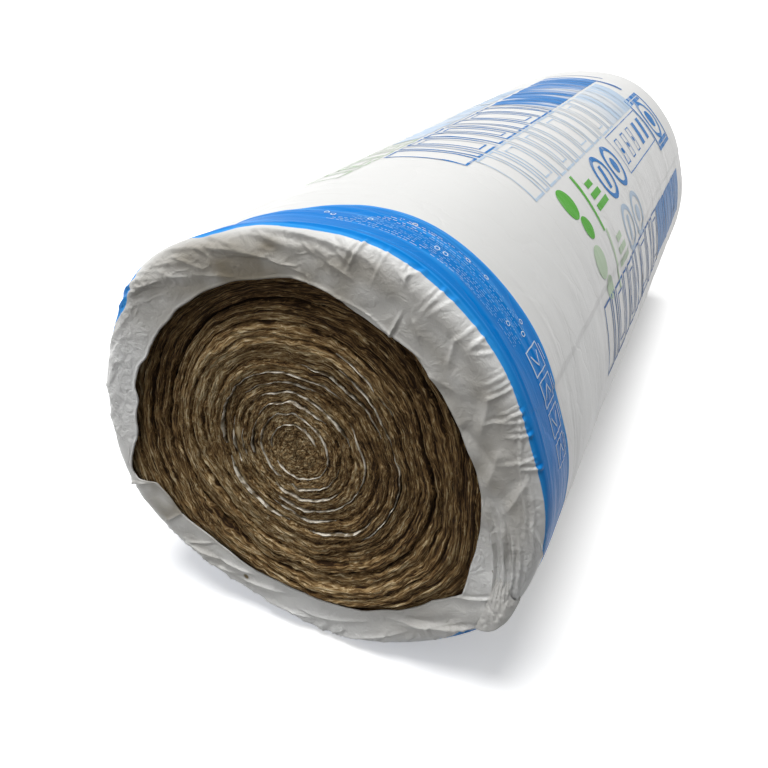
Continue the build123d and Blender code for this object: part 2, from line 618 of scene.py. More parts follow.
@dataclass
class Roll:
    """The roll's lumpy round form, in metres, set in the frame of the solids.

    The notch is a torn place in the opening's edge, given in degrees by where it begins, is full,
    is last full and is gone. A waist is a bell round the roll.
    """

    length: float = cad_box[1][1] - cad_box[0][1]
    radius: float = 243 * MM
    axis_height: float = 230 * MM
    axis_right: float = 0.24 * MM
    floor_gap: float = 0.3 * MM
    rim: float = 20 * MM
    far_flap: float = 34 * MM
    outline_shares: tuple = (
        1.010, 0.993, 0.996, 1.009, 1.019, 1.007, 0.976, 0.962, 0.970, 1.000, 1.000, 1.003,
        1.018, 1.031, 1.022, 0.975, 0.938, 0.925, 0.9465, 0.966, 0.972, 0.997, 1.029, 1.025,
    )  # fmt: skip
    opening_shares: tuple = (
        0.772, 0.764, 0.753, 0.750, 0.750, 0.768, 0.753, 0.758, 0.783, 0.792, 0.775, 0.774,
        0.771, 0.768, 0.772, 0.768, 0.795, 0.813, 0.817, 0.861, 0.860, 0.812, 0.790, 0.738,
        0.722, 0.724, 0.712, 0.714, 0.732, 0.747, 0.759, 0.776, 0.785, 0.836, 0.797, 0.778,
    )  # fmt: skip
    notch: tuple = (-172.0, -160.0, -158.0, -155.5)
    notch_depth: float = 22 * MM
    waists: tuple = ((8 * MM, 121, 0.17),)

    @property
    def near(self) -> float:
        """The near end's place along Y."""
        return -self.length / 2

    @property
    def girth(self) -> float:
        """The distance once round the roll."""
        return 2 * pi * self.radius

    @property
    def side(self) -> float:
        """The straight length of film between the two rims."""
        return self.length - 2 * self.rim

    @property
    def rim_arc(self) -> float:
        """The film's path over one rim."""
        return self.rim * pi / 2

    def outline(self, angle: Array) -> Array:
        """The outside radius at an angle."""
        return self.radius * round_curve(self.outline_shares, angle)

    def waist(self, angle: Array) -> Array:
        """How far the sleeve is drawn in behind the near rim at the upper left."""
        return lobes(angle, self.waists)

    def opening(self, angle: Array) -> Array:
        """The radius of the near opening's edge, with scallops at its left and the torn notch.

        Args:
            angle: Angles round the roll.

        Returns:
            The table's radius, and a bell of noise and two smooth steps added to it.
        """
        edge = self.radius * round_table(self.opening_shares, angle)
        steps = angle / (2 * pi) * 60
        scallops = 0.6 + 2.0 * bell(np.cos(angle / 2 - radians(176) / 2) ** 2 - 1, 0.12)
        torn = self.notch_depth * between(np.degrees(turned(angle, 0)), *self.notch)
        return edge + torn + scallops * MM * lattice_noise(np.zeros_like(steps), steps, 5, 60)

    def inward(self, depth: float) -> float:
        """The film's path at a distance in from the outline, over the rim and on to the flap.

        Args:
            depth: The distance in from the outline.

        Returns:
            The arc of the rim whose versed sine is the depth, or the whole arc and the rest.
        """
        if depth < self.rim:
            return -self.rim * acos(1 - depth / self.rim)
        return -(self.rim_arc + depth - self.rim)

    def place(self, radius: Array, angle: Array, y: Array) -> Array:
        """Points from a radius and an angle round the axis, kept off the floor.

        Args:
            radius: Distance from the axis.
            angle: Angle round it.
            y: Place along Y.

        Returns:
            The points in metres.
        """
        x = self.axis_right + radius * np.cos(angle)
        z = np.maximum(self.axis_height + radius * np.sin(angle), self.floor_gap)
        return np.stack([x, y, z], -1)


@dataclass
class Sleeve:
    """The film sleeve: its side, both rims and both folded flaps, with their creases.

    Folds are given by their start and end, each as an angle in degrees and a distance in from the
    outline in millimetres, then their width and height in millimetres and how far they spread.
    Tears have an angle, a distance in and a size, and each is painted as a dark spot of shade, the
    shade seen through a small hole. A hem's rows have a distance from the flap's edge and a lift
    off the film in millimetres. The place under the notch, where painted shade greys the film
    turned under, is given as the notch is. Tucks and the rest are bells round the roll. A tuck
    carries the band further over the rim, and a dip draws its back edge in, in millimetres. The
    dark and deep bells paint shade on the flaps' grey, the light bells paint light on it, and the
    band sheen bells paint a sheen on the band.
    """

    roll: Roll
    film: PrintedFilm
    band_start: float = -12 * MM
    band_end: float = 71 * MM
    seam: float = 118 * MM
    lap_degrees: float = 24.0
    lap_step: float = 1.3 * MM
    swell: Ripple = Ripple(1.2, 150 * MM, 14, 21)
    bend: Ripple = Ripple(0.8, 60 * MM, 12, 23)
    band_ridge: Ripple = Ripple(0.9, 10 * MM, 9, 22, power=3)
    band_wave: Ripple = Ripple(0.5, 27 * MM, 7, 25)
    side_ridge: Ripple = Ripple(0.9, 31 * MM, 6, 27, power=4)
    flap_wave: Ripple = Ripple(1.3, 17 * MM, 64, 24)
    rim_bend: Ripple = Ripple(1.2, 20 * MM, 60, 28)
    rim_ridge: Ripple = Ripple(0.75, 8 * MM, 110, 29, power=3)
    near_columns: int = 980
    flap_rows: int = 56
    rim_rows: int = 34
    side_columns: int = 400
    side_rows: tuple = (60, 160)
    far_columns: int = 560
    far_rows: int = 46
    hem: tuple = (
        (7.0, -1.6), (1.5, -1.4), (0.0, -0.7), (0.7, 0.3), (1.6, 0.5), (2.4, 0.4), (3.2, 0.0), (4.2, 0.0),
    )  # fmt: skip
    far_hem: tuple = ((-2, -1.4), (-8, -1.6))
    near_puckers: int = 130
    far_puckers: int = 70
    pleats: tuple = (14, 17, 22, 25.5, 27.5, 33, 36, 41, 44.5, 47, 53, 56, 61, 63.5, 69, 74)
    top_folds: tuple = (
        (126, 3, 109, 14, 2.4, 2.0), (109, 13, 92, 30, 2.1, 2.2), (108, 20, 96, 26, 1.6, 1.5),
        (95, 28, 86, 39, 1.4, 2.0), (92, 31, 88, 33, 1.2, 1.8), (85, 40, 84, 49, 1.3, 1.8),
        (80, 25, 73, 35, 1.8, 2.0), (120, 30, 104, 44, 3.2, 1.8), (150, 4, 128, 26, 2.4, 2.0),
        (146, 2, 132, 16, 1.9, 1.8), (140, 8, 118, 36, 3.6, 2.0), (163, 4, 146, 22, 2.1, 1.6),
        (100, 3, 80, 9, 2.4, 1.9), (92, 5, 70, 14, 2.1, 2.0),
    )  # fmt: skip
    side_folds: tuple = (
        (59, 66, 60, 38, 1.3, 3.0), (57, 36, 52, 48, 2.4, 1.8), (48, 18, 44, 40, 1.9, 2.0),
        (45, 62, 36, 44, 4.0, 2.2), (34, 20, 24, 44, 4.0, 2.8), (20, 30, 8, 52, 4.8, 3.0),
        (28, 56, 16, 40, 4.8, -2.5), (12, 14, 2, 36, 3.2, 2.8),
    )  # fmt: skip
    gathers: tuple = (
        (-22, 29, 4, 56, 1.3, 4.6), (-21, 25, 2.5, 50, 1.0, 2.4), (-19.5, 21, 3, 43, 1.3, 4.2),
        (-17, 26, 4, 39, 1.2, 2.0), (-20, 14, -3, 27.5, 1.4, 3.6), (-20, 18, -10, 25, 1.2, 2.0),
        (-9, 1, 2.5, 15, 1.6, 3.2), (2, 15, 12, 19, 1.3, 2.2), (0, 10, 12, 11, 1.2, 1.8),
        (-21, 8, -5, 19, 1.6, 2.6), (-23, 4, -8, 11, 1.6, 2.0), (-36, 10, -62, 48, 2.4, 3.0, 1.2),
        (-25, 24, -32, 48, 1.4, 2.0), (-38, 22, -58, 34, 3.0, 1.8), (-14, 34, 10, 54, 3.0, -1.6),
        (-18, 12, 0, 23, 1.2, 2.2), (-12, 6, 3, 13, 1.2, 1.8), (27, 6, 15, 16, 0.9, 1.8),
        (18, 15.5, -4, 17, 0.9, 2.2), (3, 18, -9, 4, 0.9, 2.2), (-19, 22.5, 3, 45, 0.9, -1.6),
        (-18, 18, 1, 35, 0.9, -1.6), (89, 43, 74, 55.5, 1.0, 1.8), (77, 54, 59, 62, 1.0, 1.8),
        (62, 61.5, 47, 56, 1.0, 1.6),
    )  # fmt: skip
    low_folds: tuple = (
        (-135, 14, -122, 34, 1.8, 4.0), (-122, 34, -110, 42, 2.1, 3.5), (-128, 12, -114, 29, 1.6, 3.8),
        (-114, 24, -96, 44, 2.1, 3.8), (-104, 14, -84, 26, 2.4, 3.5), (-143, 18, -143, 52, 1.1, 2.8),
        (-134, 18, -128, 50, 1.4, 2.5), (-90, 30, -66, 40, 2.7, 2.8), (-78, 12, -56, 24, 2.1, 3.2),
        (-157, 2, -156, 40, 1.3, 3.8), (-178, 8, -170, 24, 2.4, 2.8), (172, 6, -176, 30, 2.6, 2.2),
    )  # fmt: skip
    # Each tear is painted as a dark spot of shade, the shade seen through a small hole.
    tears: tuple = ((-120.8, 30.5, 2.4), (-112.7, 30.6, 2.6), (-16.3, 36.4, 1.0))
    dips: tuple = ((37, 106, 0.3),)
    tucks: tuple = ((10, -40, 0.07), (11, 147, 0.18), (-22, 127, 0.15), (-7, 102, 0.2), (-20, -17, 0.15))
    # Painted shade and light on the flaps' grey: dark bells darken it at the top and right, light bells
    # lighten it at the left, bottom and lower right, deep bells start it nearer the rim at the upper left.
    dark: tuple = ((0.95, 103, 0.5), (0.45, 22, 0.32))
    light: tuple = ((0.95, 180, 0.42), (0.9, -88, 0.5), (0.9, -19, 0.2), (0.5, 160, 0.22))
    deep: tuple = ((12, 124, 0.22),)
    # Where painted shade greys the film turned under at the notch.
    under_notch: tuple = (-158.5, -157.0, -143.5, -142.5)
    # Where the band's painted sheen shows, at its upper left.
    band_sheen: tuple = ((1.0, 80.54, 0.9),)
    rim_left: tuple = ((0.9, 152, 0.55),)
    gathered: tuple = ((0.7, -10, 0.25),)
    creases: list[Crease] = field(default_factory=list)

    def __post_init__(self) -> None:
        """Lays out the seen folds, then the pleats and puckers over both rims."""
        rng = np.random.default_rng(11)
        for fold in self.top_folds + self.side_folds + self.gathers + self.low_folds:
            self.fold(*fold)
        for angle in self.pleats:
            depth = rng.uniform(14, 36)
            lean = rng.uniform(-1, 4)
            height = rng.uniform(1.2, 3.6)
            self.fold(angle, rng.uniform(1, 4), angle + lean, depth, rng.uniform(1.1, 2.0), height, 0.9)
            self.fold(angle + 1.3, 3, angle + 1.3 + lean, depth * 0.6, 1.0, 0.5 * height)
        for _ in range(self.near_puckers):
            angle = rng.uniform(70, 345)
            start = rng.uniform(3, 14)
            lean = rng.uniform(2, 14) * (1 if angle < 200 else -0.4)
            height = rng.uniform(0.5, 1.5) * (0.5 if 150 < angle < 215 else 1.0)
            end = start + rng.uniform(6, 20)
            self.fold(angle, start, angle - lean, end, rng.uniform(1.0, 2.4), height, 1.2)
        degree = self.roll.girth / 360
        for _ in range(self.far_puckers):
            angle = rng.uniform(-180, 180) * degree
            start = self.roll.side + rng.uniform(10, 22) * MM
            end = start + rng.uniform(14, 34) * MM
            height = rng.uniform(0.5, 1.3) * MM
            slant = rng.normal(0, 5) * MM
            width = rng.uniform(1.8, 3.6) * MM
            self.creases.append(Crease((angle, start), (angle + slant, end), width, height))

    def fold(
        self,
        angle: float,
        depth: float,
        far_angle: float,
        far_depth: float,
        width: float,
        height: float,
        spread: float = 1.0,
    ) -> None:
        """Adds a fold of the near end.

        Args:
            angle: Angle of its start in degrees.
            depth: Its start's distance in from the outline in millimetres.
            far_angle: Angle of its end.
            far_depth: Its end's distance in.
            width: Its width in millimetres.
            height: Its height in millimetres.
            spread: How many times wider it is at its end.
        """
        degree = self.roll.girth / 360
        far_angle += 360 * round((angle - far_angle) / 360)
        start = (angle * degree, self.roll.inward(depth * MM))
        end = (far_angle * degree, self.roll.inward(far_depth * MM))
        self.creases.append(Crease(start, end, width * MM, height * MM, spread))

    def drape(self, around: Array, along: Array) -> Array:
        """Slow swells, wrinkles round the band and the side, soft lumps on the flap, and the lap.

        Args:
            around: Distance round the roll.
            along: Distance along the film's path.

        Returns:
            The height above the film's plain form.
        """
        roll = self.roll
        turns = around / roll.girth
        swell = self.swell.waves(turns, along)
        bend = self.bend.waves(turns, along)
        banded = smooth(-16 * MM, 0.0, along) * (0.25 + 0.75 * smooth(150 * MM, 60 * MM, along))
        wrinkle = self.band_ridge.ridges(turns, along, bend) + self.band_wave.waves(turns, along, bend)
        side = between(along, 60 * MM, 120 * MM, roll.side - 30 * MM, roll.side)
        wrinkle = wrinkle * banded + self.side_ridge.ridges(turns, along, 1.2 * bend) * side
        flap = smooth(roll.inward(14 * MM), roll.inward(30 * MM), along)
        rimmed = between(along, roll.inward(46 * MM), roll.inward(26 * MM), -16 * MM, -2 * MM)
        left = 0.25 + 0.75 * smooth(0.1, 0.7, np.cos(2 * pi * turns - radians(140)))
        crumple = self.rim_ridge.ridges(turns, along, self.rim_bend.waves(turns, along)) * rimmed * left
        lumps = self.flap_wave.waves(turns, along) * flap + crumple
        lap_bend = radians(self.lap_degrees) + 0.02 * lattice_noise(along / (300 * MM), 0 * along, 26)
        past = (around - lap_bend * roll.radius + roll.girth / 2) % roll.girth - roll.girth / 2
        lapped = self.lap_step * between(past, -2 * MM, 2 * MM, 20 * MM, 90 * MM)
        drawn_in = roll.waist(2 * pi * turns) * between(along, -4 * MM, 24 * MM, 60 * MM, 150 * MM)
        return (swell + wrinkle + lumps) * MM + lapped * smooth(0.0, 60 * MM, along) - drawn_in

    def relief(self, around: Array, along: Array) -> Array:
        """All of the film's relief above its plain form.

        Args:
            around: Distance round the roll.
            along: Distance along the film's path.

        Returns:
            The drape's height with each crease pressed into it.
        """
        total = self.drape(around, along)
        for crease in self.creases:
            crease.press(total, around, along, self.roll.girth)
        return total

    def surface(self, angle: Array, along: Array, lift: Array) -> Array:
        """Points on the film.

        The profile is a straight side, a quarter circle over each rim, and a flat flap. The
        relief pushes each point along the profile's normal.

        Args:
            angle: Angles round the roll.
            along: Distances along the film's path.
            lift: A further distance off the film.

        Returns:
            The points in metres.
        """
        roll = self.roll
        far = along > roll.side / 2
        past = np.where(far, along - roll.side, -along)
        turn = np.clip(past / roll.rim, 0.0, pi / 2)
        flat = np.maximum(past - roll.rim_arc, 0.0)
        relief = self.relief(angle * roll.radius, along) + lift
        radius = roll.outline(angle) - roll.rim * (1 - np.cos(turn)) - flat + relief * np.cos(turn)
        reach = roll.side / 2 + (roll.rim + relief) * np.sin(turn)
        inside = np.where(past < 0, along - roll.side / 2, np.where(far, reach, -reach))
        return roll.place(radius, angle, inside)

    def looks(self, angle: Array, path: Array) -> dict:
        """What the film's material reads at each place.

        Ink is the distance inside the band, over 0 where it is printed. Worn paints a sheen: pale
        streaks on the band where its wrinkles would catch the light. Shade greys the flap from its rim
        inward, partly the film's own grey and partly painted shade: darker at the top, upper left and
        right, lighter by painted light at the left, bottom and lower right, with painted shade under
        the notch and dark spots of painted shade at the tears. Crinkle is how sharp its small folds are.

        Args:
            angle: Angles round the roll.
            path: Distances along the film.

        Returns:
            Values by the attribute's name.
        """
        roll = self.roll
        steps = angle / (2 * pi) * 18
        wave = 3.5 * MM * lattice_noise(np.zeros_like(steps), steps, 31, 18)
        over = path - self.band_start + lobes(angle, self.tucks) * MM - 0.7 * wave
        ink = np.minimum(over, self.band_end - lobes(angle, self.dips) * MM - path + wave)
        # Worn paints a sheen: pale streaks on the band where its wrinkles would catch the light.
        streaks = 1 - np.abs(lattice_noise(path / (7 * MM) + 0.6 * np.sin(steps), steps * 0.5, 33, 9))
        worn = smooth(0.75, 1.0, streaks) * lobes(angle, self.band_sheen)
        # Painted shade and light: the flaps' grey is darker at the top, upper left and right, lighter at the
        # left, bottom and lower right.
        dark = lobes(angle, self.dark)
        early = (6 * dark + lobes(angle, self.deep)) * MM
        shade = smooth(-12 * MM + early, -34 * MM + early, path) * (1 + dark - lobes(angle, self.light))
        # Painted shade on the film turned under at the notch.
        under = between(np.degrees(turned(angle, 0)), *self.under_notch)
        shade = shade * (1 + under * smooth(roll.inward(8 * MM), roll.inward(12 * MM), path))
        shade = shade * (1 + 0.3 * lattice_noise(path / (13 * MM), steps * 4, 34, 72))
        # Painted shade: a dark spot at each tear, for the shade seen through a small hole.
        for middle, depth, size in self.tears:
            aside = turned(angle, middle) * roll.radius / 1.7
            away = np.hypot(aside, path - roll.inward(depth * MM))
            shade = shade + 2.4 * smooth(1.3 * size * MM, 0.6 * size * MM, away)
        left = lobes(angle, self.rim_left) * smooth(-66 * MM, -44 * MM, path)
        crinkle = smooth(-6 * MM, -22 * MM, path) * (0.9 + left + lobes(angle, self.gathered))
        return {"ink": ink, "worn": worn, "shade": shade, "crinkle": crinkle}

    def sheet(self, name: str, angles: Array, path: Array, lift: Array) -> None:
        """One stretch of the film as a closed grid, with its looks stored on its points.

        Args:
            name: The piece's name.
            angles: One angle for each column, round the whole roll.
            path: Distances along the film, as rows by columns, or as one column.
            lift: Each row's distance off the film.
        """
        angle, path = np.broadcast_arrays(angles, path)
        points = self.surface(angle, path, lift[:, None])
        piece = add_mesh(name, points, grid_faces(*path.shape, closed=True), self.film_material)
        for label, values in self.looks(angle, path).items():
            add_values(piece, label, values)
        finish_piece(piece, "film_sleeve")

    def build(self) -> None:
        """Builds the near flap and rim finely, then the side, lapped under it, and the far end."""
        self.film_material = self.film.sleeve()
        roll = self.roll
        first, last = -pi / 2, 3 * pi / 2
        even = np.linspace(first, last, 4001)
        dense = np.cumsum(1 + 1.8 * bell(even - radians(-8), 0.3) + 0.4 * bell(even - radians(100), 0.9))
        share = (dense - dense[0]) / (dense[-1] - dense[0])
        fine = np.interp(np.arange(self.near_columns) / self.near_columns, share, even)
        edge = -(roll.rim_arc + roll.outline(fine) - roll.rim - roll.opening(fine))
        hem, hem_lift = np.array(self.hem).T[:, :, None] * MM
        flap = edge + hem[-1] + (-roll.rim_arc - edge - hem[-1]) * np.linspace(0, 1, self.flap_rows)[1:, None]
        over = np.linspace(-roll.rim_arc, 6 * MM, self.rim_rows)[1:, None] + 0 * fine
        path = np.concatenate([edge + hem, flap, over])
        lift = np.concatenate([hem_lift[:, 0], np.zeros(len(path) - len(hem))])
        self.sheet("film_near_end", fine, path, lift)
        coarse = np.linspace(first, last, self.side_columns, endpoint=False)
        before = np.linspace(2 * MM, self.seam, self.side_rows[0])
        side = np.concatenate([before, np.linspace(self.seam, roll.side, self.side_rows[1])[1:]])
        self.sheet("film_side", coarse, side[:, None], np.zeros(len(side)))
        far = np.linspace(first, last, self.far_columns, endpoint=False)
        rim = roll.side + np.linspace(0, roll.rim_arc + roll.far_flap, self.far_rows)
        hem, hem_lift = np.array(self.far_hem).T * MM
        lift = np.concatenate([np.zeros(len(rim)), hem_lift])
        self.sheet("film_far_end", far, np.concatenate([rim, rim[-1] + hem])[:, None], lift)


@dataclass
class Knot:
    """The sleeve's gathered corner at the lower right: a pleated fan of film over the rim.

    Its neck and lip are given by their ends, each as an angle in degrees and a distance in from
    the outline in millimetres.
    """

    sleeve: Sleeve
    neck: tuple = ((-17.0, 33.0), (-14.5, 20.0))
    lip: tuple = ((-36.0, 10.0), (-21.5, 4.0))
    rise: float = 8 * MM
    pleats: int = 5
    pleat_height: float = 1.5 * MM
    curl_part: float = 0.35
    curl_depth: float = 16 * MM
    proud: float = 1.2 * MM
    rows: int = 90
    columns: int = 70

    def plan(self, part: Array, across: Array) -> tuple:
        """Each point's place in the end's plane, blended between the neck and the lip.

        The middle line runs straight from neck to lip, and the width opens out along a power.

        Args:
            part: How far down the fan, 0 at the neck and 1 at the lip.
            across: How far across it, from 0 to 1.

        Returns:
            Distances right of the roll's axis and above it.
        """
        opened = 0.2 * part + 0.8 * part**2.5
        total = 0.0
        for (first, last), share, width in ((self.neck, 1 - part, 1 - opened), (self.lip, part, opened)):
            angle = np.radians(first[0] + (last[0] - first[0]) * across)
            radius = self.sleeve.roll.outline(angle) - (first[1] + (last[1] - first[1]) * across) * MM
            line = np.stack([radius * np.cos(angle), radius * np.sin(angle)])
            middle = line.mean(-1, keepdims=True)
            total = total + middle * share + (line - middle) * width
        return tuple(total)

    def build(self) -> None:
        """Builds the fan: pleats spread from neck to lip, and the lip curls back over the rim.

        A point of the plan is pushed out of the end by a half sine across the fan and a quarter
        sine down it, and the last rows turn back round the rim.
        """
        roll = self.sleeve.roll
        down = np.linspace(0, 1 + self.curl_part, self.rows)[:, None]
        across = np.linspace(0, 1, self.columns)[None, :]
        part = np.minimum(down, 1.0)
        curl = np.maximum(down - 1.0, 0.0) / self.curl_part
        x, z = self.plan(part, across)
        bow = np.sin(pi * across) ** 0.6
        swell = self.rise * (0.12 + 0.88 * np.sin(part * pi / 2) ** 2) * bow * np.cos(curl * pi / 2) ** 0.5
        phase = across * 2 * pi * self.pleats + 1.3 * np.sin(3 * down) + 2.0 * across * down
        pleat = self.pleat_height * (1 - np.abs(np.sin(phase / 2))) * (1 - 0.55 * part) * bow
        crumple = 1.6 * lattice_noise(down * 7, across * 5, 91)
        crumple = crumple + 0.8 * lattice_noise(down * 15, across * 11, 92)
        push = 2.0 * MM * np.sin(curl * pi) + 7 * MM * bow * part**3 * (1 - 0.6 * curl)
        radius, angle = np.hypot(x, z) + push, np.arctan2(z, x)
        rim_inside = np.clip(radius - (roll.outline(angle) - roll.rim), 0, roll.rim)
        bent = (roll.rim - np.sqrt(roll.rim**2 - rim_inside**2)) * (1 - 0.75 * bow) * (1 - curl)
        sunk = self.curl_depth * curl + 6 * MM * (1 - part) ** 5
        y = roll.near - swell - pleat - crumple * MM * part - self.proud + bent + sunk
        points = roll.place(radius, angle, y)
        piece = add_mesh("film_knot", points, grid_faces(*x.shape, closed=False), self.sleeve.film_material)
        # The knot is greyed like the flaps: partly the film's own grey, partly painted shade.
        for label, value in (("ink", -1.0), ("shade", 0.8), ("crinkle", 1.4)):
            add_values(piece, label, np.full(x.shape, value))
        finish_piece(piece, "film_sleeve")


@dataclass
class Winding:
    """The wound mat's turns, from their shared centre out to the side of the roll.

    The turns are kinked between radii given by where that begins, is full, is last full and is
    gone. A roof is a bell round the roll, as a share, at one radius.
    """

    roll: Roll
    pitch: float = 12 * MM
    clear: float = 3 * MM
    centre: tuple = (-6 * MM, 9 * MM)
    kinks_per_turn: int = 12
    kink_mean: float = 0.9886
    kinked: tuple = (18 * MM, 36 * MM, 85 * MM, 125 * MM)
    roofs: tuple = ((0.05, 96, 0.16),)
    roof_radius: float = 54 * MM
    roof_width: float = 16 * MM

    @property
    def edge(self) -> float:
        """The mean radius at which the wool ends."""
        return self.roll.radius - self.clear

    def spread(self, angle: Array, mean: Array) -> Array:
        """The radius of a turn of a mean radius: round at the core, the roll's outline outside."""
        outline = (self.roll.outline(angle) - self.clear) / self.edge
        return mean * (1 + (outline - 1) * (mean / self.edge) ** 2)

    def kinks(self, angle: Array, mean: Array) -> Array:
        """How a stiff mat's straight runs between its kinks depart from a circle, as a share.

        Args:
            angle: Angles round the roll.
            mean: Mean radius of each point's turn.

        Returns:
            The cosine across each run over its mean, less one, weighted by radius and held
            places, less the small roof above the core.
        """
        run = 2 * pi / self.kinks_per_turn
        shift = 0.25 * lattice_noise(mean / (40 * MM), 0 * mean, 43)
        part = ((angle + shift) % run) - run / 2
        held = ring_noise(angle, 2.2, mean / (60 * MM), 46)
        weight = between(mean, *self.kinked) * (0.1 + 0.9 * smooth(-0.25, 0.35, held))
        roof = lobes(angle, self.roofs) * bell(mean - self.roof_radius, self.roof_width)
        return (np.cos(part) / self.kink_mean - 1) * weight - roof

    def stray(self, angle: Array, mean: Array) -> Array:
        """How far a turn strays, in turns: slow wander, and the kinks of a stiff mat.

        Args:
            angle: Angles round the roll.
            mean: Mean radius of each point's turn.

        Returns:
            Noise at four spacings, growing outward, and the kinks.
        """
        round_steps = angle / (2 * pi)
        wander = 0.6 * lattice_noise(mean / (45 * MM), round_steps * 6, 41, 6)
        bends = 0.36 * lattice_noise(mean / (24 * MM), round_steps * 17, 42, 17)
        outer = smooth(60 * MM, 140 * MM, mean)
        loose = smooth(8 * MM, 40 * MM, mean) * (0.35 + 0.65 * outer)
        wobble = 0.15 * ring_noise(angle, 9, mean / (16 * MM), 44) * (0.4 + 0.6 * outer)
        shiver = 0.09 * ring_noise(angle, 18, mean / (9 * MM), 45) * (0.2 + 0.8 * outer)
        return (wander + bends) * loose + wobble + shiver + self.kinks(angle, mean) * mean / self.pitch

    def layer(self, angle: Array, mean: Array) -> Array:
        """The count of layers from the core, the same all round, in turns."""
        return mean / self.pitch + self.stray(angle, mean)

    def gaps(self, turn: Array, leaves: float = 1.0) -> Array:
        """The distance in metres to the nearest whole number of turns, or of leaves in a turn."""
        return np.abs(turn - np.round(turn)) * self.pitch / leaves

    def place(self, angle: Array, mean: Array, y: Array) -> Array:
        """Points of the end face, drawn towards the turns' own centre.

        Args:
            angle: Angles round the roll.
            mean: Mean radius of each point's turn.
            y: Place along Y.

        Returns:
            The points in metres.
        """
        share = 1 - (mean / self.edge) ** 1.5
        points = self.roll.place(self.spread(angle, mean), angle, y)
        points[..., 0] += self.centre[0] * share
        points[..., 2] += self.centre[1] * share
        return points


